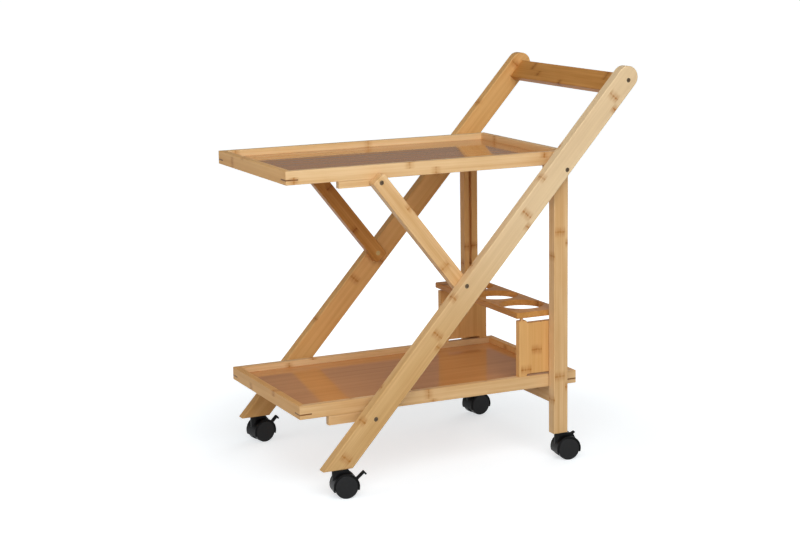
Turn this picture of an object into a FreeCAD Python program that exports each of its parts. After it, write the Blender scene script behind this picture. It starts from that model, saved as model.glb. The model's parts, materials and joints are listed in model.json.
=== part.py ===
import FreeCAD, Part
import math
import os

Vector = FreeCAD.Vector

# A bamboo serving cart: two trays in a folding Z-shaped frame on four twin-wheel casters.
# X runs along the cart towards the handle, Y across it with the near side negative, Z up from the floor.
# Lengths are millimetres and angles are degrees.
# A depth is measured inwards from a diagonal leg's outer face.

# Diagonal legs and handle
frame_width = 405.0
leg_angle = 48.2
leg_width = 40.0
leg_thickness = 20.0
foot_height = 49.0
handle_rise = 149.0
leg_end_reach = 26.8
handle_offset = 4.0
handle_bar_width = 40.0
handle_bar_thickness = 12.0
handle_bar_drop = 11.0
handle_screw_grip = 30.0
handle_dowel_diameter = 6.0
handle_dowel_grip = 12.0
edge_round = 1.5

# Places of the pivots on the diagonal legs
upper_pivot_height = 526.0
upper_pivot_offset = 11.7
strut_pivot_height = 340.0
strut_pivot_offset = 11.2
lower_pivot_height = 128.5

# Inner layer of the frame: rear legs, their cross rail and the struts
layer_gap = 1.0
inner_layer_thickness = 20.0
rear_leg_width = 28.0
rear_leg_end_reach = 22.0
guide_groove_width = 6.0
guide_groove_depth = 8.0
guide_groove_top_margin = 24.0
guide_groove_place_share = 0.42
rail_height = 30.0
rail_thickness = 20.0
rail_dowel_diameter = 8.0
rail_dowel_length = 30.0
strut_width = 27.0
strut_top_reach = 9.0
strut_foot_reach = 13.5
strut_corner_round = 4.0

# Trays
tray_length = 535.0
rim_height = 23.5
rim_thickness = 12.0
rim_edge_round = 1.0
panel_thickness = 5.0
panel_drop = 11.0
panel_tongue = 4.0
spline_leg = 22.0
spline_thickness = 2.5
spline_height_share = 0.35
upper_tray_overhang = 28.0
upper_pivot_drop = 4.5
lower_tray_overhang = 42.5
lower_pivot_drop = 4.0
strut_top_setback = 163.0
strut_top_drop = 4.5

# Pivot blocks under the trays
block_length = 86.0
block_behind_pivot = 17.0
upper_block_height = 12.0
lower_block_height = 16.0
rear_block_length = 40.0
rear_block_height = 13.0

# Bottle rack on the lower tray
rack_rear_setback = 18.0
rack_board_tail = 12.0
rack_board_height = 101.0
rack_board_thickness = 12.0
rack_ear_width = 15.0
rack_notch_depth = 4.5
rack_notch_round = 3.0
rack_gap = 5.0
plank_lead = 5.5
plank_side_margin = 5.5
plank_thickness = 10.5
bottle_hole_gap = 16.0
bottle_hole_end_margin = 24.5
bottle_hole_count = 3
rack_dowel_diameter = 6.0
rack_dowel_grip = 9.0
rack_dowel_seat = 6.0
rack_dowel_fit = 0.1

# Bolts, washers and nuts
bolt_diameter = 5.0
bolt_head_diameter = 8.0
bolt_head_height = 3.0
bolt_head_recess = 0.8
bolt_socket_width = 4.0
bolt_socket_depth = 2.0
bolt_fit = 0.05
washer_diameter = 16.0
strut_nut_diameter = 8.5
strut_nut_height = 1.2
strut_nut_slot_width = 1.4
strut_nut_slot_depth = 0.6

# Casters
caster_trail = 14.5
wheel_diameter = 40.0
wheel_width = 11.5
wheel_edge_round = 1.6
wheel_side_gap = 0.5
wheel_face = 2.0
axle_diameter = 5.0
axle_fit = 0.05
hood_web_thickness = 9.0
hood_wall = 2.2
hood_wheel_gap = 0.8
hood_top_gap = 1.0
hood_crown_rear = 20.0
hood_crown_width = 15.0
hood_rear_angle = -16.0
hood_front_angle = 199.0
hood_slope_angle = 55.0
hood_brow_angle = 160.0
hood_edge_round = 1.1
stem_diameter = 8.0
stem_grip = 18.0
stem_seat = 10.5
stem_fit = 0.05
brake_pivot_radius = 21.0
brake_pivot_angle = 22.0
brake_arm_angles = {"front": 42.0, "rear": 116.0}
brake_arm_length = 20.0
brake_arm_thickness = 4.0
brake_arm_width = 6.0
brake_hook_length = 6.0
brake_hook_thickness = 3.0
brake_edge_round = 0.9
brake_cam_diameter = 6.4
brake_lug_wall = 1.7
brake_pin_diameter = 3.0
brake_pin_length = 8.4
brake_pin_fit = 0.05
brake_side_gap = 0.4
brake_swing_room = 11.0
brake_cam_room = 5.0
caster_turns = {"front_near": -10.0, "front_far": 10.0, "rear_near": -7.0, "rear_far": 7.0}

# One overrun for every cut, and the rounding allowed between equal lengths
cut_overrun = 5.0
length_tolerance = 0.0001
full_turn = 360.0
socket_sides = 6

# The handle's screws stand above the upper tray's pivot
handle_height = upper_pivot_height + handle_rise

# Directions along and across a diagonal leg
leg_slope = math.radians(leg_angle)
leg_along = (math.cos(leg_slope), math.sin(leg_slope))
leg_across = (math.sin(leg_slope), -math.cos(leg_slope))

# The leg's foot is placed so that the whole cart is centred on the origin
upper_pivot_run = (upper_pivot_height - foot_height) / math.tan(leg_slope)
upper_pivot_run += upper_pivot_offset / leg_across[0]
handle_run = (handle_height - foot_height) / math.tan(leg_slope)
leg_round = leg_width / 2
tip_run = handle_run + (leg_end_reach - leg_round) * leg_along[0] + leg_round
tray_front_run = upper_pivot_run + upper_tray_overhang - tray_length
foot_x = -(tray_front_run + tip_run) / 2


def leg_point(height, offset=0):
    """Point (x, z) on a diagonal leg at a height, offset across it towards the rear."""
    x = foot_x + (height - foot_height) / math.tan(leg_slope) + offset / leg_across[0]
    return (x, height)


# Pivot points as (x, z)
handle_point = leg_point(handle_height, handle_offset)
upper_pivot = leg_point(upper_pivot_height, upper_pivot_offset)
strut_pivot = leg_point(strut_pivot_height, -strut_pivot_offset)
lower_pivot = leg_point(lower_pivot_height)
rear_leg_x = upper_pivot[0]

# Bore of every bolt hole
bolt_bore_diameter = bolt_diameter + 2 * bolt_fit

# Layers, as depths
inner_layer_start = leg_thickness + layer_gap
inner_layer_end = inner_layer_start + inner_layer_thickness
tray_depth = inner_layer_end + layer_gap
tray_half_width = frame_width / 2 - tray_depth

# Places of the trays
upper_rim_bottom = upper_pivot_height + upper_pivot_drop
upper_tray_rear = upper_pivot[0] + upper_tray_overhang
upper_tray_front = upper_tray_rear - tray_length
lower_rim_bottom = lower_pivot_height + lower_pivot_drop
lower_tray_rear = rear_leg_x + lower_tray_overhang
lower_tray_front = lower_tray_rear - tray_length
strut_top = (upper_tray_front + strut_top_setback, upper_rim_bottom - strut_top_drop)

# Bottle holes fill the plank's length, and the plank and the boards take their width from them
bottle_hole_run = 2 * (tray_half_width - bottle_hole_end_margin) + bottle_hole_gap
bottle_hole_pitch = bottle_hole_run / bottle_hole_count
bottle_hole_diameter = bottle_hole_pitch - bottle_hole_gap
plank_width = bottle_hole_diameter + 2 * plank_side_margin
rack_board_width = plank_width - plank_lead + rack_board_tail

# Places of the bottle rack
rack_rear = lower_tray_rear - rack_rear_setback
rack_front = rack_rear - rack_board_width
rack_bottom = lower_rim_bottom + rim_height
rack_top = rack_bottom + rack_board_height
plank_bottom = rack_top + rack_gap
plank_front = rack_front - plank_lead
plank_rear = plank_front + plank_width
rack_board_depth = tray_depth + rack_board_thickness / 2

# Caster sizes that follow from others
wheel_radius = wheel_diameter / 2
hood_inner_radius = wheel_radius + hood_wheel_gap
hood_outer_radius = hood_inner_radius + hood_wall
wheel_start = hood_web_thickness / 2 + wheel_side_gap
caster_width = 2 * (wheel_start + wheel_width)
hood_top = foot_height - hood_top_gap

sides = {"near": -1, "far": 1}


def span(side, start, end):
    """Lowest and highest y between two depths on one side."""
    outer = side * frame_width / 2
    return sorted((outer - side * start, outer - side * end))


def rod(point, side, start, end, diameter):
    """Round bar along Y through an (x, z) point, between two depths."""
    low, high = span(side, start, end)
    return Part.makeCylinder(diameter / 2, high - low, Vector(point[0], low, point[1]), Vector(0, 1, 0))


def outline_prism(points, low, high):
    """Prism along Y of a closed outline of (x, z) points."""
    corners = [Vector(x, low, z) for x, z in points]
    face = Part.Face(Part.makePolygon(corners + corners[:1]))
    return face.extrude(Vector(0, high - low, 0))


def block(x_span, y_span, z_span):
    """Box between three pairs of limits."""
    size = [pair[1] - pair[0] for pair in (x_span, y_span, z_span)]
    return Part.makeBox(size[0], size[1], size[2], Vector(x_span[0], y_span[0], z_span[0]))


def same(first, second):
    """Whether two lengths are equal but for rounding."""
    return abs(first - second) < length_tolerance


def edges_across(solid):
    """Edges that lie in a plane of constant y."""
    return [edge for edge in solid.Edges if same(edge.Vertexes[0].Y, edge.Vertexes[-1].Y)]


def edges_along(solid, axis):
    """Straight edges that run along one axis, 0 for X, 1 for Y or 2 for Z."""
    found = []
    for edge in solid.Edges:
        if len(edge.Vertexes) < 2:
            continue
        run = edge.Vertexes[-1].Point - edge.Vertexes[0].Point
        if same(abs(run[axis]), run.Length):
            found.append(edge)
    return found


def polar(centre, radius, angle):
    """Point (x, z) at a radius and an angle from a centre."""
    turn = math.radians(angle)
    return (centre[0] + radius * math.cos(turn), centre[1] + radius * math.sin(turn))


def along(point, direction, distance):
    """Point (x, z) at a distance from another along a direction."""
    return (point[0] + direction[0] * distance, point[1] + direction[1] * distance)


def bar_outline(start, end, width):
    """Four corners of a straight bar between two (x, z) points."""
    length = math.hypot(end[0] - start[0], end[1] - start[1])
    normal = ((start[1] - end[1]) / length, (end[0] - start[0]) / length)
    half = width / 2
    corners = ((start, half), (end, half), (end, -half), (start, -half))
    return [along(point, normal, offset) for point, offset in corners]


# Fasteners


def bolt(point, side, start, reach):
    """Socket-head bolt whose head is sunk below the face at the start depth."""
    head_start = start + bolt_head_recess
    head_end = head_start + bolt_head_height
    head = rod(point, side, head_start, head_end, bolt_head_diameter)
    shank = rod(point, side, head_end, reach, bolt_diameter)
    socket_radius = bolt_socket_width / (2 * math.cos(math.pi / socket_sides))
    corners = [polar(point, socket_radius, turn * full_turn / socket_sides) for turn in range(socket_sides)]
    low, high = span(side, head_start - cut_overrun, head_start + bolt_socket_depth)
    return head.fuse(shank).cut(outline_prism(corners, low, high)).removeSplitter()


def head_bore(point, side, start):
    """Counterbore that takes a bolt head sunk into the face at the start depth."""
    end = start + bolt_head_recess + bolt_head_height
    return rod(point, side, start - cut_overrun, end, bolt_head_diameter + 2 * bolt_fit)


def bolt_bore(point, side, start, end):
    """Through bore for a bolt's shank between two depths, with room at both ends."""
    return rod(point, side, start - cut_overrun, end + cut_overrun, bolt_bore_diameter)


def washer(point, side, start, end):
    """Ring on a bolt between two depths."""
    ring = rod(point, side, start, end, washer_diameter)
    return ring.cut(bolt_bore(point, side, start, end))


def strut_nut(side):
    """Slotted cap nut that closes a strut's pivot bolt, flush with the strut's inner face."""
    cap = rod(strut_pivot, side, inner_layer_end - strut_nut_height, inner_layer_end, strut_nut_diameter)
    half = strut_nut_slot_width / 2
    x_span = (strut_pivot[0] - half, strut_pivot[0] + half)
    z_span = (strut_pivot[1] - strut_nut_diameter, strut_pivot[1] + strut_nut_diameter)
    y_span = span(side, inner_layer_end - strut_nut_slot_depth, inner_layer_end + cut_overrun)
    return cap.cut(block(x_span, y_span, z_span))


# Frame


def stem_socket(x, y):
    """Vertical hole in a leg's foot that takes a caster's stem."""
    depth = stem_grip + cut_overrun
    return Part.makeCylinder(stem_diameter / 2, depth, Vector(x, y, foot_height - cut_overrun))


def diagonal_leg(side):
    """Slanted leg with a level foot, a round top end and the bores of its four bolts."""
    end_centre = along(leg_point(handle_height), leg_along, leg_end_reach - leg_round)
    half_foot = leg_round / leg_across[0]
    foot_front = (foot_x - half_foot, foot_height)
    foot_rear = (foot_x + half_foot, foot_height)
    rear_top = along(end_centre, leg_across, leg_round)
    tip = along(end_centre, leg_along, leg_round)
    front_top = along(end_centre, leg_across, -leg_round)
    low, high = span(side, 0, leg_thickness)
    corner = [Vector(x, low, z) for x, z in (foot_front, foot_rear, rear_top, tip, front_top)]
    edges = [
        Part.makeLine(corner[0], corner[1]),
        Part.makeLine(corner[1], corner[2]),
        Part.Arc(corner[2], corner[3], corner[4]).toShape(),
        Part.makeLine(corner[4], corner[0]),
    ]
    leg = Part.Face(Part.Wire(edges)).extrude(Vector(0, high - low, 0))
    leg = leg.makeFillet(edge_round, edges_across(leg))
    for point in (handle_point, upper_pivot, strut_pivot, lower_pivot):
        leg = leg.cut(head_bore(point, side, 0)).cut(bolt_bore(point, side, 0, leg_thickness))
    return leg.cut(handle_dowel(side)).cut(stem_socket(foot_x, (low + high) / 2))


def handle_dowel(side):
    """Dowel that keeps the handle bar from turning on its screw."""
    point = along(handle_point, leg_along, -2 * handle_bar_drop)
    start, end = leg_thickness - handle_dowel_grip, leg_thickness + handle_dowel_grip
    return rod(point, side, start, end, handle_dowel_diameter)


def handle_bar():
    """Flat bar between the legs, its wide faces along them, with a screw and a dowel hole in each end."""
    half = handle_bar_width / 2
    lower_end = along(handle_point, leg_along, -handle_bar_drop - half)
    upper_end = along(handle_point, leg_along, half - handle_bar_drop)
    outline = bar_outline(lower_end, upper_end, handle_bar_thickness)
    reach = frame_width / 2 - leg_thickness
    bar = outline_prism(outline, -reach, reach)
    bar = bar.makeFillet(edge_round, edges_along(bar, 1))
    hole_end = leg_thickness + handle_screw_grip
    for side in sides.values():
        bar = bar.cut(rod(handle_point, side, leg_thickness - cut_overrun, hole_end, bolt_bore_diameter))
        bar = bar.cut(handle_dowel(side))
    return bar


def rear_leg(side):
    """Upright leg with a round top, a guide groove on its inner face and the bores of its fastenings."""
    half = rear_leg_width / 2
    round_height = upper_pivot_height + rear_leg_end_reach - half
    low, high = span(side, inner_layer_start, inner_layer_end)
    front, rear = rear_leg_x - half, rear_leg_x + half
    corner = [
        Vector(front, low, foot_height),
        Vector(rear, low, foot_height),
        Vector(rear, low, round_height),
        Vector(rear_leg_x, low, round_height + half),
        Vector(front, low, round_height),
    ]
    edges = [
        Part.makeLine(corner[0], corner[1]),
        Part.makeLine(corner[1], corner[2]),
        Part.Arc(corner[2], corner[3], corner[4]).toShape(),
        Part.makeLine(corner[4], corner[0]),
    ]
    leg = Part.Face(Part.Wire(edges)).extrude(Vector(0, high - low, 0))
    leg = leg.makeFillet(edge_round, edges_across(leg))
    groove_x = front + guide_groove_place_share * rear_leg_width
    groove_half = guide_groove_width / 2
    groove_low = lower_rim_bottom + rim_height / 2
    groove_high = upper_pivot_height - guide_groove_top_margin
    floor, mouth = inner_layer_end - guide_groove_depth, inner_layer_end + cut_overrun
    x_span = (groove_x - groove_half, groove_x + groove_half)
    leg = leg.cut(block(x_span, span(side, floor, mouth), (groove_low, groove_high)))
    for height in (groove_low, groove_high):
        leg = leg.cut(rod((groove_x, height), side, floor, mouth, guide_groove_width))
    leg = leg.cut(bolt_bore(upper_pivot, side, inner_layer_start, inner_layer_end))
    for dowel in rail_dowels(side):
        leg = leg.cut(dowel)
    return leg.cut(stem_socket(rear_leg_x, (low + high) / 2))


def rail_dowels(side):
    """Two dowels that join the cross rail to the rear leg on one side."""
    start = inner_layer_end - rail_dowel_length / 2
    end = inner_layer_end + rail_dowel_length / 2
    middle = lower_rim_bottom - rail_height / 2
    step = rail_height / 4
    heights = (middle - step, middle + step)
    return [rod((rear_leg_x, height), side, start, end, rail_dowel_diameter) for height in heights]


def cross_rail():
    """Rail between the rear legs, on which the lower tray rests."""
    half = rail_thickness / 2
    reach = frame_width / 2 - inner_layer_end
    z_span = (lower_rim_bottom - rail_height, lower_rim_bottom)
    rail = block((rear_leg_x - half, rear_leg_x + half), (-reach, reach), z_span)
    rail = rail.makeFillet(edge_round, edges_along(rail, 1))
    for side in sides.values():
        for dowel in rail_dowels(side):
            rail = rail.cut(dowel)
    return rail


def strut(side):
    """Flat strut from its pivot on the diagonal leg up to the upper tray."""
    length = math.hypot(strut_top[0] - strut_pivot[0], strut_top[1] - strut_pivot[1])
    up = ((strut_top[0] - strut_pivot[0]) / length, (strut_top[1] - strut_pivot[1]) / length)
    outline = bar_outline(
        along(strut_pivot, up, -strut_foot_reach), along(strut_top, up, strut_top_reach), strut_width
    )
    low, high = span(side, inner_layer_start, inner_layer_end)
    piece = outline_prism(outline, low, high)
    piece = piece.makeFillet(strut_corner_round, edges_along(piece, 1))
    piece = piece.makeFillet(edge_round, edges_across(piece))
    piece = piece.cut(bolt_bore(strut_pivot, side, inner_layer_start, inner_layer_end))
    nut_start, nut_end = inner_layer_end - strut_nut_height, inner_layer_end + cut_overrun
    nut_seat = rod(strut_pivot, side, nut_start, nut_end, strut_nut_diameter + 2 * bolt_fit)
    piece = piece.cut(nut_seat).cut(head_bore(strut_top, side, inner_layer_start))
    return piece.cut(bolt_bore(strut_top, side, inner_layer_start, inner_layer_end))


# Trays


def tray_panel(front, rear, rim_bottom):
    """Thin panel whose edges sit in the rims' grooves."""
    inset = rim_thickness - panel_tongue
    top = rim_bottom + rim_height - panel_drop
    reach = tray_half_width - inset
    return block((front + inset, rear - inset), (-reach, reach), (top - panel_thickness, top))


def corner_splines(front, rear, rim_bottom, panel):
    """Thin triangular keys let into the four mitred corners."""
    low = rim_bottom + spline_height_share * rim_height - spline_thickness / 2
    keys = []
    for x, x_way in ((front, 1), (rear, -1)):
        for y_way in (-1, 1):
            y = y_way * tray_half_width
            points = [(x, y), (x + x_way * spline_leg, y), (x, y - y_way * spline_leg)]
            corners = [Vector(px, py, low) for px, py in points]
            face = Part.Face(Part.makePolygon(corners + corners[:1]))
            keys.append(face.extrude(Vector(0, 0, spline_thickness)).cut(panel))
    return keys


def mitred_rim(outer, inner, rim_bottom):
    """Rim with mitred ends, from the ends of its outer and inner edges as (x, y) points."""
    points = [outer[0], outer[1], inner[1], inner[0]]
    corners = [Vector(x, y, rim_bottom) for x, y in points]
    rim = Part.Face(Part.makePolygon(corners + corners[:1])).extrude(Vector(0, 0, rim_height))
    axis = 0 if abs(outer[1][0] - outer[0][0]) > abs(outer[1][1] - outer[0][1]) else 1
    return rim.makeFillet(rim_edge_round, edges_along(rim, axis))


def tray_rims(front, rear, rim_bottom):
    """The four rims of a tray by name."""
    half = tray_half_width
    outer = {"front_near": (front, -half), "rear_near": (rear, -half)}
    outer.update({"rear_far": (rear, half), "front_far": (front, half)})
    inner_front, inner_rear, inner_half = front + rim_thickness, rear - rim_thickness, half - rim_thickness
    inner = {"front_near": (inner_front, -inner_half), "rear_near": (inner_rear, -inner_half)}
    inner.update({"rear_far": (inner_rear, inner_half), "front_far": (inner_front, inner_half)})
    ends = {
        "near": ("front_near", "rear_near"),
        "rear": ("rear_near", "rear_far"),
        "far": ("rear_far", "front_far"),
        "front": ("front_far", "front_near"),
    }
    rims = {}
    for name, (first, last) in ends.items():
        rims[name] = mitred_rim((outer[first], outer[last]), (inner[first], inner[last]), rim_bottom)
    return rims


def plain_block(side, rim_bottom, x_span, height):
    """Block under a side rim."""
    y_span = span(side, tray_depth, tray_depth + rim_thickness)
    piece = block(x_span, y_span, (rim_bottom - height, rim_bottom))
    return piece.makeFillet(edge_round, edges_along(piece, 2))


def pivot_block(point, side, rim_bottom, x_span, height):
    """Block under a side rim, bored for the pivot bolt that carries the tray there."""
    bore = bolt_bore(point, side, tray_depth, tray_depth + rim_thickness)
    return plain_block(side, rim_bottom, x_span, height).cut(bore)


def build_tray(name, front, rear, rim_bottom, drilled=()):
    """All wooden pieces of one tray by node name, its side rims drilled for loose dowels."""
    panel = tray_panel(front, rear, rim_bottom)
    keys = corner_splines(front, rear, rim_bottom, panel)
    pieces = {name + "_panel": panel, name + "_corner_splines": Part.makeCompound(keys)}
    for rim_name, rim in tray_rims(front, rear, rim_bottom).items():
        rim = rim.cut(panel)
        for cutter in keys + list(drilled):
            rim = rim.cut(cutter)
        pieces[name + "_rim_" + rim_name] = rim
    return pieces


# Bottle rack


def rack_dowel(side, x, start, end, play=0):
    """Upright dowel at the middle of a rack board between two heights."""
    y = sum(span(side, rack_board_depth, rack_board_depth)) / 2
    return Part.makeCylinder(rack_dowel_diameter / 2 + play, end - start, Vector(x, y, start))


def rack_pins(side):
    """Dowels under one board, which stand in the rim."""
    places = (rack_front + rack_ear_width / 2, rack_rear - rack_ear_width / 2)
    start, end = rack_bottom - rack_dowel_seat, rack_bottom + rack_dowel_grip
    return [rack_dowel(side, x, start, end) for x in places]


def rack_pin_holes():
    """Cutters for the holes in the rims that take the rack's dowels."""
    places = (rack_front + rack_ear_width / 2, rack_rear - rack_ear_width / 2)
    low, high = rack_bottom - rack_dowel_seat - rack_dowel_fit, rack_bottom + cut_overrun
    return [rack_dowel(side, x, low, high, rack_dowel_fit) for side in sides.values() for x in places]


def rack_posts(side):
    """Dowels between one board and the plank above it."""
    places = (rack_front + rack_ear_width / 2, plank_rear - rack_ear_width / 2)
    start, end = rack_top - rack_dowel_grip, plank_bottom + rack_dowel_seat
    return [rack_dowel(side, x, start, end) for x in places]


def rack_board(side):
    """End board that stands on ears, with a notch in its lower and upper edge."""
    rear_top_ear = rack_ear_width + rack_rear - plank_rear
    outline = [
        (rack_front, rack_bottom),
        (rack_front + rack_ear_width, rack_bottom),
        (rack_front + rack_ear_width, rack_bottom + rack_notch_depth),
        (rack_rear - rack_ear_width, rack_bottom + rack_notch_depth),
        (rack_rear - rack_ear_width, rack_bottom),
        (rack_rear, rack_bottom),
        (rack_rear, rack_top),
        (rack_rear - rear_top_ear, rack_top),
        (rack_rear - rear_top_ear, rack_top - rack_notch_depth),
        (rack_front + rack_ear_width, rack_top - rack_notch_depth),
        (rack_front + rack_ear_width, rack_top),
        (rack_front, rack_top),
    ]
    low, high = span(side, tray_depth, tray_depth + rack_board_thickness)
    board = outline_prism(outline, low, high)
    notch_low, notch_high = rack_bottom + rack_notch_depth, rack_top - rack_notch_depth
    corners = []
    for edge in edges_along(board, 1):
        height = edge.Vertexes[0].Z
        if same(height, notch_low) or same(height, notch_high):
            corners.append(edge)
    board = board.makeFillet(rack_notch_round, corners)
    for dowel in rack_pins(side) + rack_posts(side):
        board = board.cut(dowel)
    return board


def bottle_plank():
    """Plank with a row of bottle holes, carried above the boards by their dowels."""
    z_span = (plank_bottom, plank_bottom + plank_thickness)
    plank = block((plank_front, plank_rear), (-tray_half_width, tray_half_width), z_span)
    plank = plank.makeFillet(edge_round, edges_along(plank, 1))
    middle = (plank_front + plank_rear) / 2
    height = plank_thickness + 2 * cut_overrun
    for step in range(bottle_hole_count):
        y = (step - (bottle_hole_count - 1) / 2) * bottle_hole_pitch
        base = Vector(middle, y, plank_bottom - cut_overrun)
        plank = plank.cut(Part.makeCylinder(bottle_hole_diameter / 2, height, base))
    for side in sides.values():
        for dowel in rack_posts(side):
            plank = plank.cut(dowel)
    return plank


# Casters, drawn about a vertical stem at x = 0, y = 0


def middle_rod(point, half_length, diameter):
    """Round bar along Y, centred on y = 0."""
    return Part.makeCylinder(
        diameter / 2, 2 * half_length, Vector(point[0], -half_length, point[1]), Vector(0, 1, 0)
    )


axle_point = (caster_trail, wheel_radius)
brake_pivot = polar(axle_point, brake_pivot_radius, brake_pivot_angle)


def caster_hood():
    """Hood over both wheels: a fender, a web with the brake's lug and a crown round the stem."""
    half = caster_width / 2
    rear_lip = polar(axle_point, hood_outer_radius, hood_rear_angle)
    front_lip = polar(axle_point, hood_outer_radius, hood_front_angle)
    below = -hood_outer_radius
    far_front, far_rear = axle_point[0] - 2 * hood_outer_radius, axle_point[0] + 2 * hood_outer_radius
    under = [
        (far_front, front_lip[1]),
        front_lip,
        rear_lip,
        (far_rear, rear_lip[1]),
        (far_rear, below),
        (far_front, below),
    ]
    fender = middle_rod(axle_point, half, 2 * hood_outer_radius)
    fender = fender.makeFillet(hood_edge_round, edges_across(fender))
    half_crown = hood_crown_width / 2
    crown_outline = [
        (-half_crown, hood_top),
        polar(axle_point, hood_outer_radius, hood_brow_angle),
        axle_point,
        polar(axle_point, hood_outer_radius, hood_slope_angle),
        (hood_crown_rear, hood_top),
    ]
    crown = outline_prism(crown_outline, -half_crown, half_crown)
    round_front = Part.makeCylinder(half_crown, hood_top)
    flat_rear = block((0, far_rear), (-half_crown, half_crown), (0, hood_top))
    hood = fender.fuse(crown.common(round_front.fuse(flat_rear)))
    lug_diameter = brake_pin_diameter + 2 * brake_lug_wall
    hood = hood.fuse(middle_rod(brake_pivot, hood_web_thickness / 2, lug_diameter))
    hood = hood.cut(outline_prism(under, -half - cut_overrun, half + cut_overrun))
    for way in (-1, 1):
        start = way * hood_web_thickness / 2
        wheel_room = Part.makeCylinder(
            hood_inner_radius, half, Vector(axle_point[0], start, axle_point[1]), Vector(0, way, 0)
        )
        hood = hood.cut(wheel_room)
    slot_half = brake_arm_width / 2 + brake_side_gap
    slot_front = brake_pivot[0] - brake_swing_room
    slot_bottom = brake_pivot[1] - brake_cam_room
    slot = block((slot_front, far_rear), (-slot_half, slot_half), (slot_bottom, hood_top + cut_overrun))
    hood = hood.cut(slot)
    hood = hood.cut(middle_rod(brake_pivot, hood_web_thickness, brake_pin_diameter + 2 * brake_pin_fit))
    hood = hood.cut(middle_rod(axle_point, hood_web_thickness, axle_diameter + 2 * axle_fit))
    seat_base = Vector(0, 0, hood_top - stem_seat)
    seat = Part.makeCylinder(stem_diameter / 2 + stem_fit, stem_seat + cut_overrun, seat_base)
    return hood.cut(seat).removeSplitter()


def caster_stem():
    """Steel stem that stands in the leg's foot and carries the hood."""
    bottom = hood_top - stem_seat
    return Part.makeCylinder(stem_diameter / 2, foot_height + stem_grip - bottom, Vector(0, 0, bottom))


def caster_axle():
    """Steel axle through the hood's web into both wheels."""
    return middle_rod(axle_point, wheel_start + wheel_width - wheel_face, axle_diameter)


def caster_wheels():
    """Two wheels with plain outer faces, pressed on one axle."""
    wheels = []
    for way in (-1, 1):
        base = Vector(axle_point[0], way * wheel_start, axle_point[1])
        wheel = Part.makeCylinder(wheel_radius, wheel_width, base, Vector(0, way, 0))
        wheel = wheel.makeFillet(wheel_edge_round, edges_across(wheel))
        wheels.append(wheel.cut(caster_axle()))
    return Part.makeCompound(wheels)


def caster_brake(arm_angle):
    """Brake lever with a hooked tip, on a pin in the hood's slot, its arm at an angle to the floor."""
    half = brake_arm_width / 2
    turn = math.radians(arm_angle)
    way = (math.cos(turn), math.sin(turn))
    down = (way[1], -way[0])
    tip = along(brake_pivot, way, brake_arm_length)
    hook_start = along(tip, way, -brake_hook_thickness / 2)
    arm = outline_prism(bar_outline(brake_pivot, tip, brake_arm_thickness), -half, half)
    hook_end = along(hook_start, down, brake_hook_length)
    hook = outline_prism(bar_outline(hook_start, hook_end, brake_hook_thickness), -half, half)
    lever = arm.fuse(hook).removeSplitter()
    lever = lever.makeFillet(brake_edge_round, edges_along(lever, 1))
    cam = middle_rod(brake_pivot, half, brake_cam_diameter)
    pin = middle_rod(brake_pivot, brake_pin_length / 2, brake_pin_diameter)
    return lever.fuse(cam).fuse(pin).removeSplitter()


def build_casters():
    """All pieces of the four casters by node name, moved to the legs' feet."""
    common = {
        "stem": caster_stem(),
        "hood": caster_hood(),
        "axle": caster_axle(),
        "wheels": caster_wheels(),
    }
    rear_depth = (inner_layer_start + inner_layer_end) / 2
    places = {"front": (foot_x, leg_thickness / 2), "rear": (rear_leg_x, rear_depth)}
    pieces = {}
    for end, (x, depth) in places.items():
        shapes = dict(common, brake=caster_brake(brake_arm_angles[end]))
        for side_name, side in sides.items():
            place = end + "_" + side_name
            y = sum(span(side, depth, depth)) / 2
            for kind, shape in shapes.items():
                turned = shape.rotated(Vector(0, 0, 0), Vector(0, 0, 1), caster_turns[place])
                pieces["caster_" + place + "_" + kind] = turned.translated(Vector(x, y, 0))
    return pieces


def build_frame():
    """Legs, handle, rail, struts and every fastener by node name."""
    both = list(sides.values())
    block_end = tray_depth + rim_thickness
    nut_start = inner_layer_end - strut_nut_height
    pieces = {"handle_bar": handle_bar(), "rear_cross_rail": cross_rail()}
    for name, side in sides.items():
        pieces["diagonal_leg_" + name] = diagonal_leg(side)
        pieces["rear_leg_" + name] = rear_leg(side)
        pieces["strut_" + name] = strut(side)
        pieces["strut_top_bolt_" + name] = bolt(strut_top, side, inner_layer_start, inner_layer_end)
    groups = {
        "handle_dowels": [handle_dowel(side) for side in both],
        "handle_screws": [bolt(handle_point, side, 0, leg_thickness + handle_screw_grip) for side in both],
        "rear_leg_pivot_bolts": [bolt(upper_pivot, side, 0, block_end) for side in both],
        "strut_pivot_bolts": [bolt(strut_pivot, side, 0, nut_start) for side in both],
        "lower_tray_pivot_bolts": [bolt(lower_pivot, side, 0, block_end) for side in both],
        "strut_pivot_nuts": [strut_nut(side) for side in both],
        "lower_pivot_spacers": [washer(lower_pivot, side, leg_thickness, tray_depth) for side in both],
        "rail_dowels": [dowel for side in both for dowel in rail_dowels(side)],
    }
    rings = []
    for side in both:
        rings.append(washer(strut_pivot, side, leg_thickness, inner_layer_start))
        rings.append(washer(upper_pivot, side, leg_thickness, inner_layer_start))
        rings.append(washer(upper_pivot, side, inner_layer_end, tray_depth))
    groups["pivot_washers"] = rings
    for name, solids in groups.items():
        pieces[name] = Part.makeCompound(solids)
    return pieces


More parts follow.
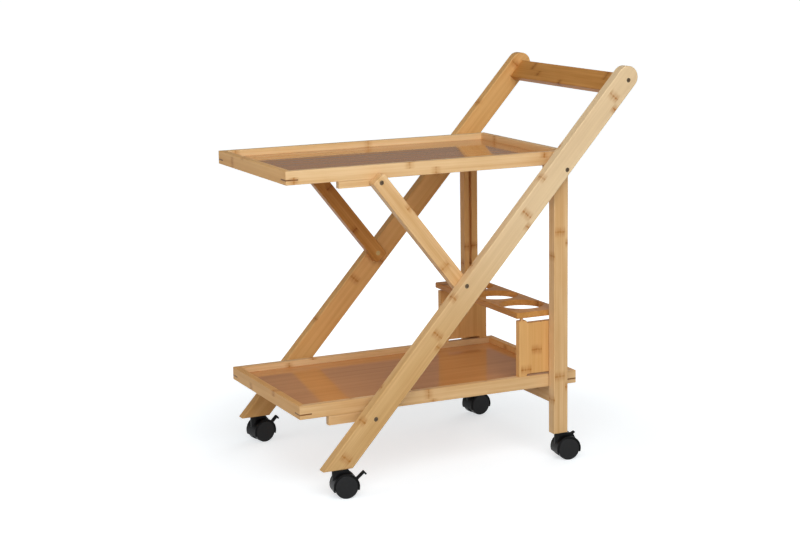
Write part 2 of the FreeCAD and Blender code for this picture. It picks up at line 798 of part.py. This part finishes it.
def build_blocks():
    """Pivot blocks under both trays by node name."""
    pieces = {}
    rear_half = rear_block_length / 2
    rear_span = (upper_pivot[0] - rear_half, upper_pivot[0] + rear_half)
    rear_blocks = []
    for name, side in sides.items():
        rear_blocks.append(pivot_block(upper_pivot, side, upper_rim_bottom, rear_span, rear_block_height))
        x = strut_top[0] + block_behind_pivot
        pieces["upper_front_block_" + name] = plain_block(
            side, upper_rim_bottom, (x - block_length, x), upper_block_height
        )
        x = lower_pivot[0] + block_behind_pivot
        pieces["lower_pivot_block_" + name] = pivot_block(
            lower_pivot, side, lower_rim_bottom, (x - block_length, x), lower_block_height
        )
    pieces["upper_rear_pivot_blocks"] = Part.makeCompound(rear_blocks)
    return pieces


def build_rack():
    """Bottle rack by node name."""
    dowels = [dowel for side in sides.values() for dowel in rack_pins(side) + rack_posts(side)]
    pieces = {"bottle_plank": bottle_plank(), "rack_dowels": Part.makeCompound(dowels)}
    for name, side in sides.items():
        pieces["rack_board_" + name] = rack_board(side)
    return pieces


def build_cart():
    """Every node of the cart by name."""
    pieces = build_frame()
    pieces.update(build_tray("upper", upper_tray_front, upper_tray_rear, upper_rim_bottom))
    holes = rack_pin_holes()
    pieces.update(build_tray("lower", lower_tray_front, lower_tray_rear, lower_rim_bottom, holes))
    pieces.update(build_blocks())
    pieces.update(build_rack())
    pieces.update(build_casters())
    return pieces


os.makedirs("parts", exist_ok=True)
for node, shape in build_cart().items():
    shape.exportStep("parts/" + node + ".step")
    print(node, len(shape.Solids), round(shape.Volume), shape.isValid())
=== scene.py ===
"""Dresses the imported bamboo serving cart: finishes, studio floor, light and camera."""
import json
import logging
import math
from dataclasses import dataclass, field
from enum import Enum

import bpy
import numpy as np
from mathutils import Matrix, Vector


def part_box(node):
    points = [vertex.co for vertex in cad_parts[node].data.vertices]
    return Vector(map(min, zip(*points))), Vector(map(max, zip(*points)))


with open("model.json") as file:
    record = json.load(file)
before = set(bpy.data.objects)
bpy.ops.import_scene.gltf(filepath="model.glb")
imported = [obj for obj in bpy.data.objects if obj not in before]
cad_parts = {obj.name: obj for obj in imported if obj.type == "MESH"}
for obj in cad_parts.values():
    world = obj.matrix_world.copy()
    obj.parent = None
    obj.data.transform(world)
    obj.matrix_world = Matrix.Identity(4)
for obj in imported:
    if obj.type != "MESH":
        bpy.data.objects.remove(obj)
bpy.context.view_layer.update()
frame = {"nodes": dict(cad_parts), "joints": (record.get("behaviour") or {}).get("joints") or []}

logging.basicConfig(level=logging.INFO, format="%(levelname)s %(message)s")
log = logging.getLogger("serving_cart")

Triple = tuple[float, float, float]
Colour = Triple

PHOTO_WIDTH = 800
LEG_SLOPE = math.radians(48.2)
PATTERN_STEP = (0.37, 0.0113, 0.0071)
RELIEF_DEPTH = 0.001
MIDDLE = 0.5
# Numbers of the colour sockets of Blender's Mix node.
MIX_FIRST, MIX_SECOND, MIX_RESULT = 6, 7, 2
SIDES = ("near", "far")
TRAYS = ("upper", "lower")
CASTER_PLACES = ("front_near", "front_far", "rear_near", "rear_far")


class Grain(Enum):
    """Direction in which a bamboo piece's fibres run."""

    LONG = "along the cart"
    CROSS = "across the cart"
    UPRIGHT = "upwards"
    LEG = "up a diagonal leg"
    STRUT = "up a strut"


def linear(red: int, green: int, blue: int) -> Colour:
    """Linear colour by the sRGB curve: a straight foot, then a power of 2.4.

    Args:
        red: red share from 0 to 255.
        green: green share from 0 to 255.
        blue: blue share from 0 to 255.

    Returns:
        The linear colour.
    """
    share = np.array((red, green, blue)) / 255
    low = share / 12.92
    high = ((share + 0.055) / 1.055) ** 2.4
    return tuple(float(v) for v in np.where(share <= 0.04045, low, high))


class ShaderGraph:
    """Short calls for the nodes of one material."""

    def __init__(self, name: str) -> None:
        """Start an empty material with its output node."""
        self.material = bpy.data.materials.new(name)
        self.material.use_nodes = True
        self.tree = self.material.node_tree
        self.tree.nodes.clear()
        self.output = self.tree.nodes.new("ShaderNodeOutputMaterial")

    def link(self, source: bpy.types.NodeSocket, target: bpy.types.NodeSocket) -> None:
        """Join two sockets."""
        self.tree.links.new(source, target)

    def node(self, kind: str, **settings: object) -> bpy.types.Node:
        """Add a node.

        Args:
            kind: Blender's class name of the node.
            settings: properties to set on it.

        Returns:
            The new node.
        """
        made = self.tree.nodes.new(kind)
        for key, value in settings.items():
            setattr(made, key, value)
        return made

    def math(self, operation: str, first: object, second: object = None) -> bpy.types.NodeSocket:
        """One math node.

        Args:
            operation: name of the operation.
            first: number or socket.
            second: number, socket or nothing.

        Returns:
            The result's socket.
        """
        made = self.node("ShaderNodeMath", operation=operation)
        for slot, value in enumerate((first, second)):
            if isinstance(value, (int, float)):
                made.inputs[slot].default_value = value
            elif value is not None:
                self.link(value, made.inputs[slot])
        return made.outputs[0]

    def noise(self, vector: bpy.types.NodeSocket, scale: Triple, detail: float) -> bpy.types.NodeSocket:
        """Noise stretched by a scale along each axis.

        Args:
            vector: coordinates in metres.
            scale: cells per metre along each axis.
            detail: octaves of finer noise.

        Returns:
            The factor socket, about 0.5 on average.
        """
        stretch = self.node("ShaderNodeMapping")
        stretch.inputs["Scale"].default_value = scale
        self.link(vector, stretch.inputs["Vector"])
        made = self.node("ShaderNodeTexNoise")
        made.inputs["Scale"].default_value = 1.0
        made.inputs["Detail"].default_value = detail
        self.link(stretch.outputs[0], made.inputs["Vector"])
        return made.outputs[0]

    def swing(self, value: bpy.types.NodeSocket, weight: float) -> bpy.types.NodeSocket:
        """Weight times the distance of a pattern from its middle."""
        return self.math("MULTIPLY", self.math("SUBTRACT", value, MIDDLE), weight)

    def ramp(self, value: bpy.types.NodeSocket, low: float, high: float) -> bpy.types.NodeSocket:
        """Smooth rise from 0 to 1.

        Args:
            value: socket that is followed.
            low: value at which the rise starts.
            high: value at which it ends.

        Returns:
            The rise's socket.
        """
        made = self.node("ShaderNodeMapRange", interpolation_type="SMOOTHSTEP")
        made.inputs["From Min"].default_value = low
        made.inputs["From Max"].default_value = high
        self.link(value, made.inputs["Value"])
        return made.outputs[0]

    def mix(self, share: bpy.types.NodeSocket, first: object, second: object) -> bpy.types.NodeSocket:
        """Mix of two colours.

        Args:
            share: socket that is 0 for the first colour and 1 for the second.
            first: colour or socket.
            second: colour or socket.

        Returns:
            The mixed colour's socket.
        """
        made = self.node("ShaderNodeMix", data_type="RGBA")
        self.link(share, made.inputs["Factor"])
        for slot, value in ((MIX_FIRST, first), (MIX_SECOND, second)):
            if isinstance(value, tuple):
                made.inputs[slot].default_value = (*value, 1.0)
            else:
                self.link(value, made.inputs[slot])
        return made.outputs[MIX_RESULT]

    def principled(self, roughness: float, **values: float) -> bpy.types.Node:
        """Surface shader joined to the output.

        Args:
            roughness: roughness of the surface.
            values: other sockets by name, with underscores for spaces.

        Returns:
            The shader node.
        """
        made = self.node("ShaderNodeBsdfPrincipled")
        made.inputs["Roughness"].default_value = roughness
        for key, value in values.items():
            made.inputs[key.replace("_", " ")].default_value = value
        self.link(made.outputs[0], self.output.inputs["Surface"])
        return made

    def relief(self, shader: bpy.types.Node, height: bpy.types.NodeSocket, strength: float) -> None:
        """Bump a shader's surface.

        Args:
            shader: shader whose surface is bumped.
            height: pattern of the heights.
            strength: share of the full depth of relief.
        """
        made = self.node("ShaderNodeBump")
        made.inputs["Strength"].default_value = strength
        made.inputs["Distance"].default_value = RELIEF_DEPTH
        self.link(height, made.inputs["Height"])
        self.link(made.outputs[0], shader.inputs["Normal"])


@dataclass(frozen=True)
class GrainFrame:
    """Turn that brings a piece's fibre direction onto the pattern's first axis."""

    turn: Triple
    shift: Triple

    @staticmethod
    def along(grain: Grain, slopes: dict[Grain, float], seed: int) -> "GrainFrame":
        """Frame for one piece.

        Args:
            grain: direction of the fibres.
            slopes: angle above the floor, in radians, of the slanted directions.
            seed: number that moves the pattern from piece to piece.

        Returns:
            The frame.
        """
        if grain is Grain.CROSS:
            turn = (0.0, 0.0, -math.pi / 2)
        elif grain is Grain.LONG:
            turn = (0.0, 0.0, 0.0)
        elif grain is Grain.UPRIGHT:
            turn = (0.0, math.pi / 2, 0.0)
        else:
            turn = (0.0, slopes[grain], 0.0)
        return GrainFrame(turn, tuple(step * seed for step in PATTERN_STEP))


@dataclass(frozen=True)
class BambooFinish:
    """Lacquered laminated bamboo: strips with fine fibres and dark nodes.

    Lengths are in metres, and cells are counts per metre along the fibres, across and in depth.
    """

    light: Colour
    middle: Colour
    dark: Colour
    roughness: float = 0.42
    specular: float = 0.1
    fibre_cells: Triple = (9.0, 560.0, 560.0)
    fibre_detail: float = 5.0
    fibre_weight: float = 0.9
    fibre_bump: float = 0.04
    streak_cells: Triple = (2.2, 150.0, 150.0)
    streak_weight: float = 1.2
    mottle_cells: Triple = (7.0, 38.0, 38.0)
    mottle_weight: float = 1.0
    soft_detail: float = 2.0
    shade_reach: float = 0.75
    strip: float = 0.021
    strip_weight: float = 0.35
    strip_row: float = 7.0
    node_spacing: float = 0.26
    node_length: float = 0.012
    node_depth: float = 0.4
    node_stagger: float = 7.31
    node_wobble: float = 0.009
    wobble_cells: Triple = (12.0, 160.0, 160.0)
    stain_core_share: float = 0.2
    stain_weight: float = 0.8
    scar_core_share: float = 0.06
    scar_weight: float = 0.7
    patch_cells: Triple = (60.0, 330.0, 330.0)
    patch_detail: float = 3.0
    patch_range: tuple[float, float] = (0.25, 0.75)
    patch_base: float = 0.6
    # Painted sheen: a paler tone that rises with the height, standing in for a glossy haze of light near the
    # top of a board.
    sheen_tone: Colour = (1.0, 1.0, 1.0)
    sheen_share: float = 0.0
    sheen_start: float = 0.18
    sheen_end: float = 0.5

    def material(self, name: str, pose: GrainFrame) -> bpy.types.Material:
        """Material of one piece.

        Args:
            name: name of the material.
            pose: direction and place of the pattern.

        Returns:
            The material.
        """
        graph = ShaderGraph(name)
        place = graph.node("ShaderNodeTexCoord").outputs["Object"]
        turned = graph.node("ShaderNodeMapping")
        turned.inputs["Rotation"].default_value = pose.turn
        turned.inputs["Location"].default_value = pose.shift
        graph.link(place, turned.inputs["Vector"])
        grain = turned.outputs[0]
        split = graph.node("ShaderNodeSeparateXYZ")
        graph.link(grain, split.inputs[0])
        fibre = graph.noise(grain, self.fibre_cells, self.fibre_detail)
        streak = graph.noise(grain, self.streak_cells, self.soft_detail)
        mottle = graph.noise(grain, self.mottle_cells, self.soft_detail)
        tone = graph.node("ShaderNodeTexWhiteNoise", noise_dimensions="1D")
        graph.link(self.strip_number(graph, split), tone.inputs["W"])
        knot = self.nodes(graph, grain, split.outputs["X"], tone.outputs[0])
        shade = graph.swing(fibre, self.fibre_weight)
        others = (
            (streak, self.streak_weight),
            (mottle, self.mottle_weight),
            (tone.outputs[0], self.strip_weight),
        )
        for pattern, weight in others:
            shade = graph.math("ADD", shade, graph.swing(pattern, weight))
        shade = graph.ramp(shade, -self.shade_reach, self.shade_reach)
        colour = graph.mix(shade, self.middle, self.light)
        # Painted sheen, paler towards the top of the board.
        if self.sheen_share:
            colour = graph.mix(self.painted_sheen(graph, place), colour, self.sheen_tone)
        colour = graph.mix(knot, colour, self.dark)
        shader = graph.principled(self.roughness, Specular_IOR_Level=self.specular)
        graph.link(colour, shader.inputs["Base Color"])
        graph.relief(shader, fibre, self.fibre_bump)
        return graph.material

    def painted_sheen(self, graph: ShaderGraph, place: bpy.types.NodeSocket) -> bpy.types.NodeSocket:
        """Share of the pale tone. This is a painted sheen that rises with the height and stands in for the
        glossy haze of light at the top of the board.

        Args:
            graph: the material's graph.
            place: coordinates in metres.

        Returns:
            The share's socket.
        """
        split = graph.node("ShaderNodeSeparateXYZ")
        graph.link(place, split.inputs[0])
        rise = graph.ramp(split.outputs["Z"], self.sheen_start, self.sheen_end)
        return graph.math("MULTIPLY", rise, self.sheen_share)

    def strip_number(self, graph: ShaderGraph, split: bpy.types.Node) -> bpy.types.NodeSocket:
        """Whole number that tells the laminated strips apart: floor(y/s) + row floor(z/s).

        Args:
            graph: the material's graph.
            split: node that parts the turned coordinates.

        Returns:
            The number's socket.
        """
        across = graph.math("FLOOR", graph.math("DIVIDE", split.outputs["Y"], self.strip))
        deep_shaded = graph.math("FLOOR", graph.math("DIVIDE", split.outputs["Z"], self.strip))
        return graph.math("ADD", across, graph.math("MULTIPLY", deep_shaded, self.strip_row))

    def nodes(
        self,
        graph: ShaderGraph,
        grain: bpy.types.NodeSocket,
        run: bpy.types.NodeSocket,
        tone: bpy.types.NodeSocket,
    ) -> bpy.types.NodeSocket:
        """Dark stains with a thin scar where the culm had its nodes, one per spacing along each strip.

        Args:
            graph: the material's graph.
            grain: turned coordinates.
            run: distance along the fibres.
            tone: random number of the strip.

        Returns:
            Share of the dark colour.
        """
        wobble = graph.noise(grain, self.wobble_cells, self.soft_detail)
        phase = graph.math("DIVIDE", run, self.node_spacing)
        phase = graph.math("ADD", phase, graph.math("MULTIPLY", tone, self.node_stagger))
        phase = graph.math("ADD", phase, graph.math("MULTIPLY", wobble, self.node_wobble))
        away = graph.math("ABSOLUTE", graph.math("SUBTRACT", graph.math("FRACT", phase), MIDDLE))
        reach = self.node_length / self.node_spacing
        core, edge = self.scar_core_share * reach, self.stain_core_share * reach
        stain = graph.math("SUBTRACT", 1.0, graph.ramp(away, edge, reach))
        scar = graph.math("SUBTRACT", 1.0, graph.ramp(away, core, edge))
        stain = graph.math("MULTIPLY", stain, self.stain_weight)
        mark = graph.math("ADD", stain, graph.math("MULTIPLY", scar, self.scar_weight))
        patch = graph.ramp(graph.noise(grain, self.patch_cells, self.patch_detail), *self.patch_range)
        mark = graph.math("MULTIPLY", mark, graph.math("ADD", patch, self.patch_base))
        return graph.math("MULTIPLY", mark, self.node_depth)


@dataclass(frozen=True)
class PanelFinish:
    """Glossy board of the trays, with cells counted per metre."""

    light: Colour
    dark: Colour
    roughness: float
    index: float = 1.6
    specular: float = 0.5
    fibre_cells: Triple = (5.0, 420.0, 420.0)
    fibre_detail: float = 3.0
    fibre_weight: float = 0.45
    streak_cells: Triple = (1.4, 46.0, 46.0)
    streak_detail: float = 2.0
    streak_weight: float = 0.55
    shade_range: tuple[float, float] = (0.3, 0.7)

    def material(self, name: str) -> bpy.types.Material:
        """Material with long soft fibres along the cart.

        Args:
            name: name of the material.

        Returns:
            The material.
        """
        graph = ShaderGraph(name)
        place = graph.node("ShaderNodeTexCoord").outputs["Object"]
        fibre = graph.noise(place, self.fibre_cells, self.fibre_detail)
        streak = graph.noise(place, self.streak_cells, self.streak_detail)
        shade = graph.math("MULTIPLY", fibre, self.fibre_weight)
        shade = graph.math("ADD", shade, graph.math("MULTIPLY", streak, self.streak_weight))
        colour = graph.mix(graph.ramp(shade, *self.shade_range), self.dark, self.light)
        shader = graph.principled(self.roughness, IOR=self.index, Specular_IOR_Level=self.specular)
        graph.link(colour, shader.inputs["Base Color"])
        return graph.material


@dataclass(frozen=True)
class SolidFinish:
    """Finish of one colour with a faint unevenness of its tone and gloss and a fine grain."""

    colour: Colour
    roughness: float
    metallic: float = 0.0
    specular: float = 0.5
    mottle: float = 0.14
    mottle_cells: Triple = (160.0, 160.0, 160.0)
    mottle_range: tuple[float, float] = (0.3, 0.7)
    gloss_change: float = 0.12
    grain: float = 0.06
    grain_cells: Triple = (1500.0, 1500.0, 1500.0)
    detail: float = 2.0

    def material(self, name: str) -> bpy.types.Material:
        """Material whose tone and roughness vary a little over a finely grained surface.

        Args:
            name: name of the material.

        Returns:
            The material.
        """
        graph = ShaderGraph(name)
        place = graph.node("ShaderNodeTexCoord").outputs["Object"]
        shader = graph.principled(self.roughness, Metallic=self.metallic, Specular_IOR_Level=self.specular)
        uneven = graph.noise(place, self.mottle_cells, self.detail)
        dark, light = (tuple(v * share for v in self.colour) for share in (1 - self.mottle, 1 + self.mottle))
        tone = graph.mix(graph.ramp(uneven, *self.mottle_range), dark, light)
        graph.link(tone, shader.inputs["Base Color"])
        gloss = graph.math("ADD", graph.swing(uneven, self.gloss_change), self.roughness)
        graph.link(gloss, shader.inputs["Roughness"])
        graph.relief(shader, graph.noise(place, self.grain_cells, self.detail), self.grain)
        return graph.material


BAMBOO = BambooFinish(light=linear(234, 199, 151), middle=linear(206, 159, 102), dark=linear(176, 112, 44))
# Near leg with a painted sheen that grows paler towards its top.
SHEEN_LEG_BAMBOO = BambooFinish(
    light=linear(222, 184, 130),
    middle=linear(196, 152, 96),
    dark=linear(170, 106, 40),
    sheen_tone=linear(255, 240, 208),
    sheen_share=0.36,
)
# Painted shade: a deeper, warmer copy of the bamboo for pieces in shade or facing away from the key lamp.
HALF_SHADE_BAMBOO = BambooFinish(
    light=linear(230, 182, 120), middle=linear(211, 157, 92), dark=linear(168, 100, 38)
)
# Painted light: a paler copy of the bamboo for the far upper rim, standing in for light bounced onto its
# inner face.
PAINTED_LIGHT_BAMBOO = BambooFinish(
    light=linear(242, 212, 166), middle=linear(222, 184, 129), dark=linear(188, 132, 70)
)
# Painted shade: a dark copy of the bamboo for the handle bar, the bottle plank and the far strut, which get
# little light.
DEEP_SHADE_BAMBOO = BambooFinish(light=linear(206, 149, 83), middle=linear(177, 118, 54), dark=linear(136, 76, 28))
KEY_BAMBOO = BambooFinish(light=linear(150, 104, 62), middle=linear(122, 80, 46), dark=linear(90, 56, 30))
PANEL = PanelFinish(light=linear(216, 152, 91), dark=linear(200, 136, 79), roughness=0.07)
HOOD_BLACK = SolidFinish(linear(12, 12, 13), 0.42, specular=0.16)
WHEEL_BLACK = SolidFinish(linear(20, 20, 21), 0.4, specular=0.25)
PLAIN_STEEL = SolidFinish(linear(190, 190, 192), 0.32, metallic=1.0)
DARK_STEEL = SolidFinish(linear(104, 88, 70), 0.32, metallic=0.8)
NUT_BRASS = SolidFinish(linear(196, 166, 108), 0.35, metallic=0.6)
SPACER_PLASTIC = SolidFinish(linear(202, 188, 160), 0.55)


def dress(node: str, material: bpy.types.Material) -> None:
    """Give a CAD node one material in place of what it came with.

    Args:
        node: name of the node.
        material: its new material.
    """
    slots = frame["nodes"][node].data.materials
    slots.clear()
    slots.append(material)
    log.info("dressed %s with %s", node, material.name)


@dataclass
class WoodenParts:
    """Every bamboo piece, each with its own run of the pattern."""

    slopes: dict[Grain, float]
    grains: dict[str, Grain] = field(default_factory=dict)
    # Pieces given the copy with painted shade.
    half_shaded: tuple[str, ...] = (
        "diagonal_leg_far",
        "rack_board_near",
        "rack_board_far",
        "upper_rim_front",
        "lower_rim_front",
        "rear_leg_far",
        "lower_rim_rear",
    )
    # Pieces given the dark copy with painted shade.
    deep_shaded: tuple[str, ...] = ("handle_bar", "bottle_plank", "strut_far")

    def plan(self) -> None:
        """List the pieces with the direction of their fibres."""
        for side in SIDES:
            self.grains["diagonal_leg_" + side] = Grain.LEG
            self.grains["rear_leg_" + side] = Grain.UPRIGHT
            self.grains["strut_" + side] = Grain.STRUT
            self.grains["rack_board_" + side] = Grain.UPRIGHT
            self.grains["upper_front_block_" + side] = Grain.LONG
            self.grains["lower_pivot_block_" + side] = Grain.LONG
        rims = {"near": Grain.LONG, "far": Grain.LONG, "front": Grain.CROSS, "rear": Grain.CROSS}
        for tray in TRAYS:
            self.grains[tray + "_corner_splines"] = Grain.CROSS
            for rim, grain in rims.items():
                self.grains[f"{tray}_rim_{rim}"] = grain
        for node in ("handle_bar", "rear_cross_rail", "bottle_plank", "rail_dowels", "handle_dowels"):
            self.grains[node] = Grain.CROSS
        self.grains["rack_dowels"] = Grain.UPRIGHT
        self.grains["upper_rear_pivot_blocks"] = Grain.LONG

    def build(self) -> None:
        """Dress every bamboo node."""
        self.plan()
        for seed, (node, grain) in enumerate(sorted(self.grains.items())):
            pose = GrainFrame.along(grain, self.slopes, seed)
            dress(node, self.finish(node).material("bamboo_" + node, pose))

    def finish(self, node: str) -> BambooFinish:
        """Tone of a piece: the plain bamboo, or a copy with painted sheen, painted light or painted shade.

        Args:
            node: name of the piece.

        Returns:
            Its finish.
        """
        if node.endswith("_corner_splines"):
            return KEY_BAMBOO
        # The near leg gets a painted sheen at its top.
        if node == "diagonal_leg_near":
            return SHEEN_LEG_BAMBOO
        # Painted light on the far upper rim.
        if node == "upper_rim_far":
            return PAINTED_LIGHT_BAMBOO
        # Dark painted shade for the pieces that get little light.
        if node in self.deep_shaded:
            return DEEP_SHADE_BAMBOO
        # Painted shade for the pieces in shade, the plain bamboo for the rest.
        return HALF_SHADE_BAMBOO if node in self.half_shaded else BAMBOO


@dataclass
class TrayPanels:
    """The boards inside the trays' rims."""

    trays: tuple[str, ...] = TRAYS

    def build(self) -> None:
        """Dress both panels."""
        material = PANEL.material("panel_lacquer")
        for tray in self.trays:
            dress(tray + "_panel", material)


@dataclass
class Hardware:
    """Bolts, nuts, washers and spacers."""

    dark: tuple[str, ...] = (
        "handle_screws",
        "rear_leg_pivot_bolts",
        "strut_pivot_bolts",
        "lower_tray_pivot_bolts",
        "strut_top_bolt_near",
        "strut_top_bolt_far",
    )
    plastic: tuple[str, ...] = ("pivot_washers", "lower_pivot_spacers")

    def build(self) -> None:
        """Dress every fastener."""
        steel = DARK_STEEL.material("dark_zinc")
        for node in self.dark:
            dress(node, steel)
        spacer = SPACER_PLASTIC.material("spacer_plastic")
        for node in self.plastic:
            dress(node, spacer)
        dress("strut_pivot_nuts", NUT_BRASS.material("nut_brass"))


@dataclass
class Casters:
    """Four twin-wheel casters with brake levers."""

    places: tuple[str, ...] = CASTER_PLACES

    def build(self) -> None:
        """Dress every piece of the casters."""
        hood = HOOD_BLACK.material("hood_black")
        wheel = WHEEL_BLACK.material("wheel_black")
        steel = PLAIN_STEEL.material("plain_steel")
        for place in self.places:
            finishes = {"hood": hood, "brake": hood, "wheels": wheel, "stem": steel, "axle": steel}
            for kind, material in finishes.items():
                dress(f"caster_{place}_{kind}", material)


@dataclass(frozen=True)
class Lamp:
    """Square soft lamp turned to the cart.

    The power is in watts, the size and distance in metres and the angles in degrees.
    """

    name: str
    power: float
    size: float
    azimuth: float
    elevation: float
    distance: float

    def build(self, target: Vector) -> None:
        """Make the lamp.

        Args:
            target: point at which it looks.
        """
        data = bpy.data.lights.new(self.name, "AREA")
        data.energy = self.power
        data.size = self.size
        lamp = bpy.data.objects.new(self.name, data)
        bpy.context.scene.collection.objects.link(lamp)
        back = direction(self.azimuth, self.elevation)
        lamp.location = target + back * self.distance
        lamp.rotation_euler = back.to_track_quat("Z", "Y").to_euler()


@dataclass
class Studio:
    """White floor and surroundings with soft lamps on the near side, in front and behind."""

    floor_reach: float = 150.0
    floor_roughness: float = 0.9
    floor_colour: Colour = (0.6, 0.63, 0.648)
    lift_colour: Colour = (0.968, 0.992, 1.008)
    floor_lift: float = 0.62
    far_lift: float = 0.94
    lift_start: float = 0.35
    lift_end: float = 0.9
    cove: float = 1.0
    studio_wall: float = 0.15
    cove_height: float = 0.08
    wall_height: float = 0.12
    key: Lamp = Lamp("key", power=45.5, size=2.2, azimuth=-16.0, elevation=33.0, distance=2.3)
    fill: Lamp = Lamp("fill", power=11.0, size=1.4, azimuth=-88.0, elevation=22.0, distance=2.6)
    back: Lamp = Lamp("back", power=15.0, size=1.6, azimuth=125.0, elevation=20.0, distance=2.6)
    target: Triple = (0.0, 0.0, 0.35)

    def build(self) -> None:
        """Make the floor, the surroundings and the lamps."""
        bpy.context.scene.view_settings.view_transform = "Standard"
        self.floor()
        self.surroundings()
        for lamp in (self.key, self.fill, self.back):
            lamp.build(Vector(self.target))

    def floor(self) -> None:
        """Flat square floor at height 0, lifted to white for the camera, and more so away from the cart."""
        reach = self.floor_reach
        corners = np.array(((-reach, -reach, 0), (reach, -reach, 0), (reach, reach, 0), (-reach, reach, 0)))
        mesh = bpy.data.meshes.new("floor")
        mesh.from_pydata(corners.tolist(), [], [(0, 1, 2, 3)])
        plane = bpy.data.objects.new("floor", mesh)
        bpy.context.scene.collection.objects.link(plane)
        graph = ShaderGraph("floor_white")
        shader = graph.principled(self.floor_roughness, Specular_IOR_Level=0.0)
        shader.inputs["Base Color"].default_value = (*self.floor_colour, 1.0)
        lift = graph.node("ShaderNodeEmission")
        lift.inputs["Color"].default_value = (*self.lift_colour, 1.0)
        path = graph.node("ShaderNodeLightPath")
        seen = graph.math("MAXIMUM", path.outputs["Is Camera Ray"], path.outputs["Is Glossy Ray"])
        seen = graph.math("MAXIMUM", seen, path.outputs["Is Transmission Ray"])
        away = graph.node("ShaderNodeVectorMath", operation="LENGTH")
        graph.link(graph.node("ShaderNodeTexCoord").outputs["Object"], away.inputs[0])
        rise = graph.ramp(away.outputs["Value"], self.lift_start, self.lift_end)
        rise = graph.math("MULTIPLY", rise, self.far_lift - self.floor_lift)
        strength = graph.math("MULTIPLY", seen, graph.math("ADD", rise, self.floor_lift))
        graph.link(strength, lift.inputs["Strength"])
        both = graph.node("ShaderNodeAddShader")
        graph.link(shader.outputs[0], both.inputs[0])
        graph.link(lift.outputs[0], both.inputs[1])
        graph.link(both.outputs[0], graph.output.inputs["Surface"])
        mesh.materials.append(graph.material)

    def surroundings(self) -> None:
        """White cove at the horizon, and dim studio walls and ceiling above it."""
        world = bpy.data.worlds.new("studio")
        bpy.context.scene.world = world
        world.use_nodes = True
        tree = world.node_tree
        background = tree.nodes["Background"]
        background.inputs["Color"].default_value = (1.0, 1.0, 1.0, 1.0)
        place = tree.nodes.new("ShaderNodeTexCoord")
        split = tree.nodes.new("ShaderNodeSeparateXYZ")
        tree.links.new(place.outputs["Generated"], split.inputs[0])
        level = tree.nodes.new("ShaderNodeMapRange")
        level.interpolation_type = "SMOOTHSTEP"
        level.inputs["From Min"].default_value = self.cove_height
        level.inputs["From Max"].default_value = self.wall_height
        level.inputs["To Min"].default_value = self.cove
        level.inputs["To Max"].default_value = self.studio_wall
        tree.links.new(split.outputs["Z"], level.inputs["Value"])
        tree.links.new(level.outputs[0], background.inputs["Strength"])


def direction(azimuth: float, elevation: float) -> Vector:
    """Unit vector from the cart towards a viewer.

    Args:
        azimuth: degrees round from the near side, positive towards the handle.
        elevation: degrees above the floor.

    Returns:
        The vector.
    """
    turn, rise = math.radians(azimuth), math.radians(elevation)
    return Vector((math.sin(turn) * math.cos(rise), -math.cos(turn) * math.cos(rise), math.sin(rise)))


@dataclass
class PhotoCamera:
    """Camera at the photograph's viewing angle."""

    target: Triple = (-0.00274, 0.00205, 0.35355)
    azimuth: float = -25.754
    elevation: float = 10.487
    roll: float = -0.714
    distance: float = 3.36009
    focal_pixels: float = 1864.3
    centre_right: float = 20.84
    centre_down: float = -15.70
    sensor: float = 36.0

    def build(self) -> None:
        """Make the camera and set it as the scene's own."""
        data = bpy.data.cameras.new("photo_camera")
        data.sensor_width = self.sensor
        data.lens = self.focal_pixels / PHOTO_WIDTH * self.sensor
        data.shift_x = -self.centre_right / PHOTO_WIDTH
        data.shift_y = self.centre_down / PHOTO_WIDTH
        camera = bpy.data.objects.new("photo_camera", data)
        bpy.context.scene.collection.objects.link(camera)
        back = direction(self.azimuth, self.elevation)
        level = (-back).to_track_quat("-Z", "Y").to_matrix().to_4x4()
        turn = Matrix.Rotation(math.radians(self.roll), 4, "Z")
        camera.matrix_world = Matrix.Translation(Vector(self.target) + back * self.distance) @ level @ turn
        bpy.context.scene.camera = camera


def strut_slope() -> float:
    """Angle of a strut above the floor, from its foot to its top bolt.

    Returns:
        The angle in radians.
    """
    foot = next(joint["pos_m"] for joint in frame["joints"] if joint["name"] == "strut_near_fold")
    low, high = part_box("strut_top_bolt_near")
    top = (low + high) / 2
    return math.atan2(top[2] - foot[2], top[0] - foot[0])


def main() -> None:
    """Build the cart's dress, the studio and the camera."""
    slopes = {Grain.LEG: LEG_SLOPE, Grain.STRUT: strut_slope()}
    for assembly in (WoodenParts(slopes), TrayPanels(), Hardware(), Casters()):
        assembly.build()
        log.info("built %s", type(assembly).__name__)
    Studio().build()
    PhotoCamera().build()


if __name__ == "__main__":
    main()
